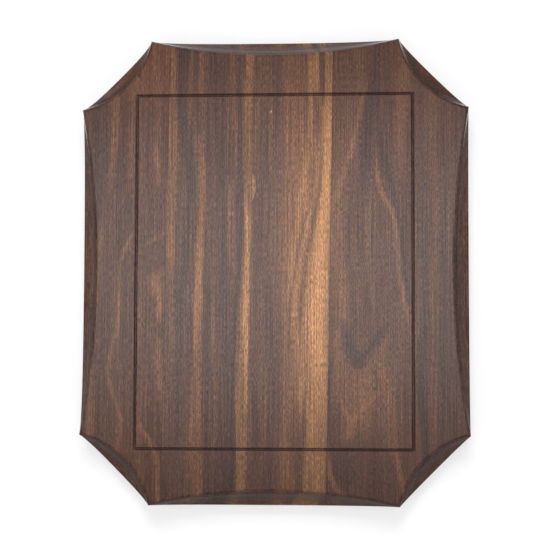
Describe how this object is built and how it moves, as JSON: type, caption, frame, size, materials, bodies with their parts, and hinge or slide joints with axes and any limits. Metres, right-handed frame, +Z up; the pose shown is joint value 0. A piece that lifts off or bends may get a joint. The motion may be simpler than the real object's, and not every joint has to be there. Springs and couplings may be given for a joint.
{
  "type": "wooden wall plaque",
  "caption": "Eight-sided walnut wall plaque of glued staves with scooped edges, a routed line round its bare field, and keyhole hangers in the back.",
  "frame": {"origin": "centre of the upright hanger's entry hole, in the plane of the board's back", "axes": "+Y out of the back towards the wall, so the face looks along -Y; +Z up as the plaque hangs; +X to the right of someone who faces it"},
  "size_m": [0.254, 0.0221, 0.3048],
  "materials": {
    "walnut_left": "satin lacquer",
    "walnut_centre": "satin lacquer",
    "walnut_right": "satin lacquer",
    "beech": "raw",
    "hanger_steel": "zinc plated",
    "screw_steel": "zinc plated",
    "bumper_rubber": "matte"
  },
  "bodies": {
    "root": {"stave_left": "walnut_left", "stave_centre": "walnut_centre", "stave_right": "walnut_right", "biscuit_left_bottom": "beech", "biscuit_left_middle": "beech", "biscuit_left_top": "beech", "biscuit_right_bottom": "beech", "biscuit_right_middle": "beech", "biscuit_right_top": "beech", "hanger_plate_upright": "hanger_steel", "hanger_plate_sideways": "hanger_steel", "hanger_screw_upright_lower": "screw_steel", "hanger_screw_upright_upper": "screw_steel", "hanger_screw_sideways_inner": "screw_steel", "hanger_screw_sideways_outer": "screw_steel", "bumper_bottom_left": "bumper_rubber", "bumper_bottom_right": "bumper_rubber", "bumper_top_left": "bumper_rubber", "bumper_top_right": "bumper_rubber"}
  },
  "joints": []
}
